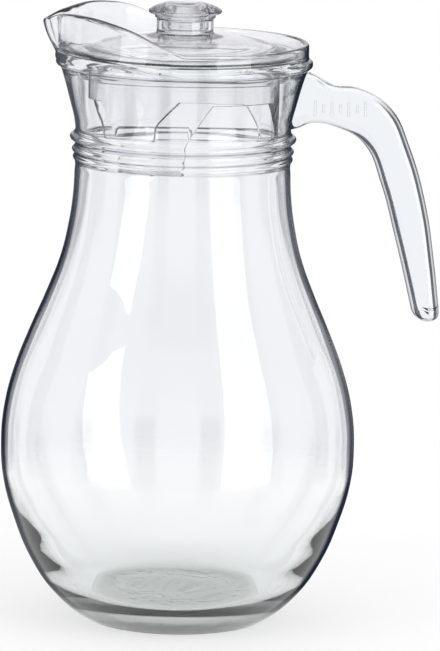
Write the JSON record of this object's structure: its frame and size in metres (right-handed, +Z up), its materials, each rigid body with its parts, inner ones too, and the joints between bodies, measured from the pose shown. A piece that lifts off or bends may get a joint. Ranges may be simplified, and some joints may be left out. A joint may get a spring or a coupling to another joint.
{
  "type": "glass jug with lid",
  "caption": "Clear glass jug with a round bulb, ringed neck, pouring lip and open hook handle, and a loose clear lid with a mushroom knob and long tongues that lifts off.",
  "frame": {"origin": "middle of the flat base, on the axis of the round body", "axes": "+Z up along the jug's axis, the pouring lip along -X and the handle along +X"},
  "size_m": [0.1781, 0.145, 0.2553],
  "materials": {
    "glass": "clear fire-polished soda-lime glass",
    "clear_plastic": "clear moulded polystyrene"
  },
  "bodies": {
    "jug": {"jug_body": "glass", "handle": "glass"},
    "lid_with_knob": {"lid": "clear_plastic", "knob_cap": "clear_plastic"}
  },
  "joints": [
    {"name": "lid_lift", "type": "slide", "parent": "jug", "child": "lid_with_knob", "axis": [0, 0, 1], "range_m": [0, 0.066]}
  ]
}
